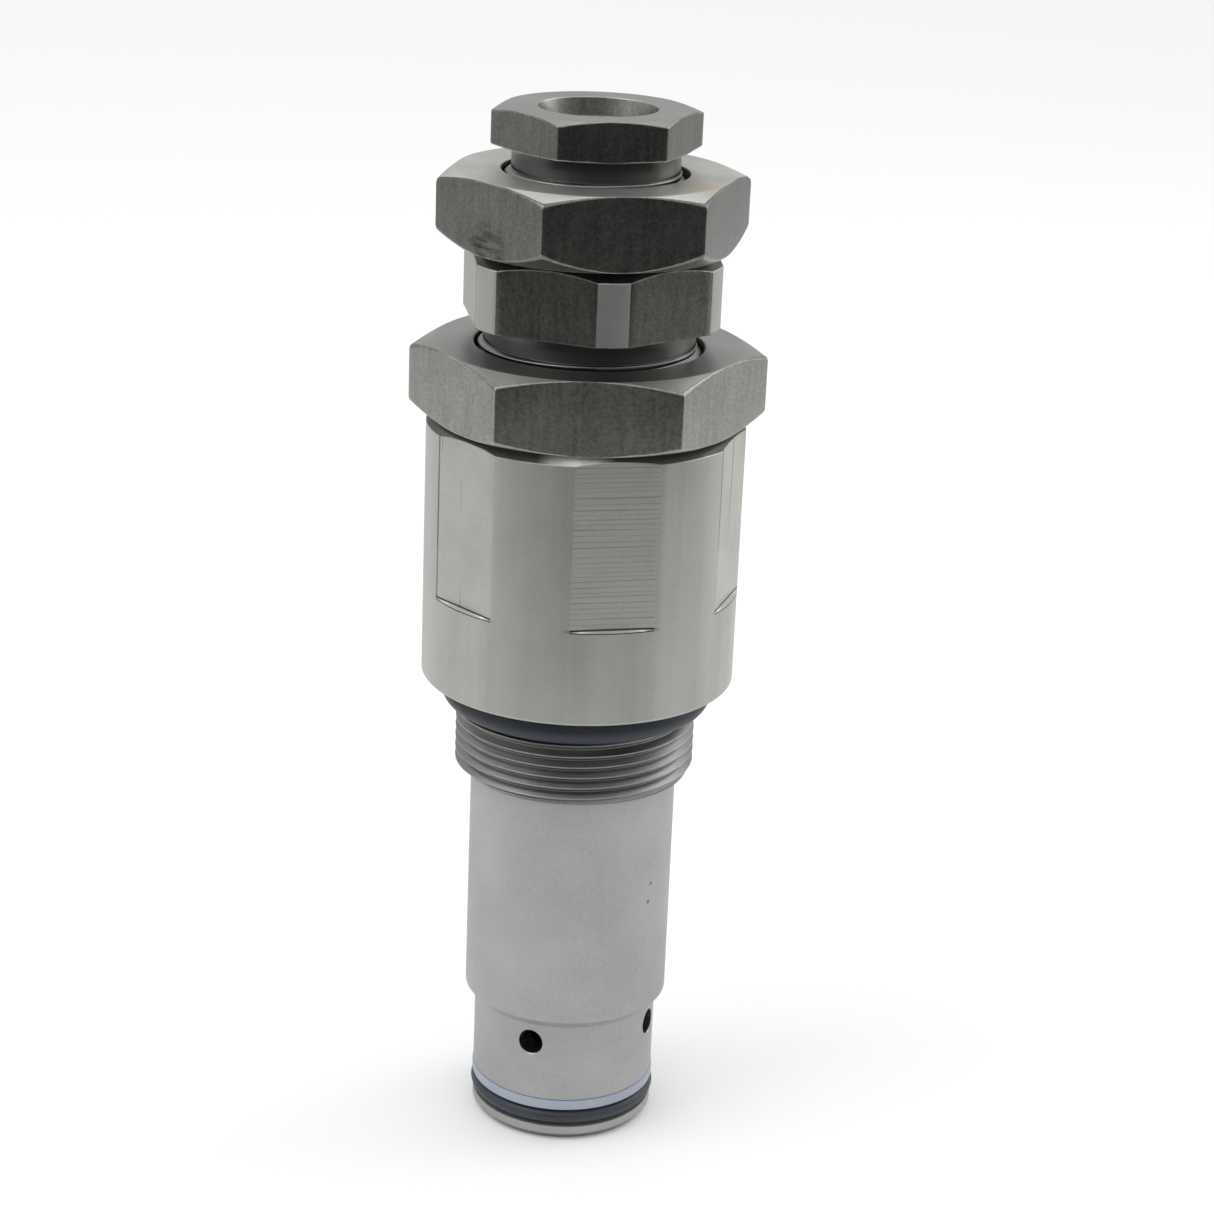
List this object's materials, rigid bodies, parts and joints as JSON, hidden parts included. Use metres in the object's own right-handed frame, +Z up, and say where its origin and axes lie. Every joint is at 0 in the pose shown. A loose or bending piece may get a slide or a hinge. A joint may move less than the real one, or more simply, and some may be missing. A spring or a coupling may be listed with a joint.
{
  "type": "pressure relief valve",
  "caption": "Screw-in two-stage hydraulic relief cartridge: pilot-operated main poppet in a ported sleeve, hexagon body, spring adjuster and boost plug with lock nuts.",
  "frame": {"origin": "centre of the nose's end face, on the valve's axis", "axes": "+Z up along the valve's axis, from the nose to the pilot port; a wrench flat of the body faces -Y"},
  "size_m": [0.0464, 0.0448, 0.1429],
  "materials": {
    "machined_steel": "satin",
    "ground_steel": "matte",
    "hardened_steel": "satin",
    "spring_steel": "satin",
    "nitrile_rubber": "satin",
    "ptfe": "matte",
    "brass": "satin"
  },
  "bodies": {
    "housing": {"valve_body": "machined_steel", "main_sleeve": "ground_steel", "pilot_seat": "hardened_steel", "pilot_seat_oring": "nitrile_rubber", "pilot_seat_backup_ring": "ptfe", "body_oring": "nitrile_rubber", "nose_oring": "nitrile_rubber", "nose_backup_ring": "ptfe", "main_spring": "spring_steel", "pilot_spring": "spring_steel"},
    "main_stage": {"main_poppet": "hardened_steel", "orifice_jet": "brass", "orifice_filter": "brass", "filter_snap_ring": "spring_steel"},
    "pilot_stage": {"pilot_poppet": "hardened_steel"},
    "adjuster_seal": {"adjuster_oring": "nitrile_rubber"},
    "adjuster": {"pressure_adjuster": "machined_steel"},
    "adjuster_nut": {"adjuster_lock_nut": "machined_steel"},
    "plug_seal": {"plug_oring": "nitrile_rubber"},
    "plug": {"boost_plug": "machined_steel"},
    "plug_nut": {"plug_lock_nut": "machined_steel"},
    "piston": {"boost_piston": "hardened_steel", "piston_oring": "nitrile_rubber", "spring_seat": "hardened_steel"}
  },
  "joints": [
    {"name": "main_poppet_lift", "type": "slide", "parent": "housing", "child": "main_stage", "axis": [0, 0, 1], "range_m": [0, 0.0033], "stiffness_N_per_m": 4600, "springref_m": -0.008, "deforming": ["main_spring"]},
    {"name": "pilot_poppet_lift", "type": "slide", "parent": "housing", "child": "pilot_stage", "axis": [0, 0, 1], "range_m": [0, 0.0008]},
    {"name": "adjuster_travel", "type": "slide", "parent": "housing", "child": "adjuster_seal", "axis": [0, 0, 1], "range_m": [-0.00225, 0.0015]},
    {"name": "adjuster_turn", "type": "hinge", "parent": "adjuster_seal", "child": "adjuster", "pos_m": [0, 0, 0.1156], "axis": [0, 0, 1], "range_deg": [-540.1, 360.1]},
    {"name": "adjuster_nut_turn", "type": "hinge", "parent": "housing", "child": "adjuster_nut", "pos_m": [0, 0, 0.107], "axis": [0, 0, 1], "range_deg": [0, 180]},
    {"name": "plug_travel", "type": "slide", "parent": "adjuster", "child": "plug_seal", "axis": [0, 0, 1], "range_m": [-0.0015, 0.0015]},
    {"name": "plug_turn", "type": "hinge", "parent": "plug_seal", "child": "plug", "pos_m": [0, 0, 0.1378], "axis": [0, 0, 1], "range_deg": [-360.1, 360.1]},
    {"name": "plug_nut_turn", "type": "hinge", "parent": "adjuster", "child": "plug_nut", "pos_m": [0, 0, 0.13], "axis": [0, 0, 1], "range_deg": [0, 180]},
    {"name": "boost_stroke", "type": "slide", "parent": "plug_seal", "child": "piston", "axis": [0, 0, -1], "range_m": [0, 0.0015], "stiffness_N_per_m": 2000, "springref_m": -0.005, "deforming": ["pilot_spring"]}
  ],
  "couplings": [
    {"joint": "adjuster_turn", "follows": "adjuster_travel", "rad_per_m": 4188.8},
    {"joint": "plug_turn", "follows": "plug_travel", "rad_per_m": 4188.8}
  ]
}
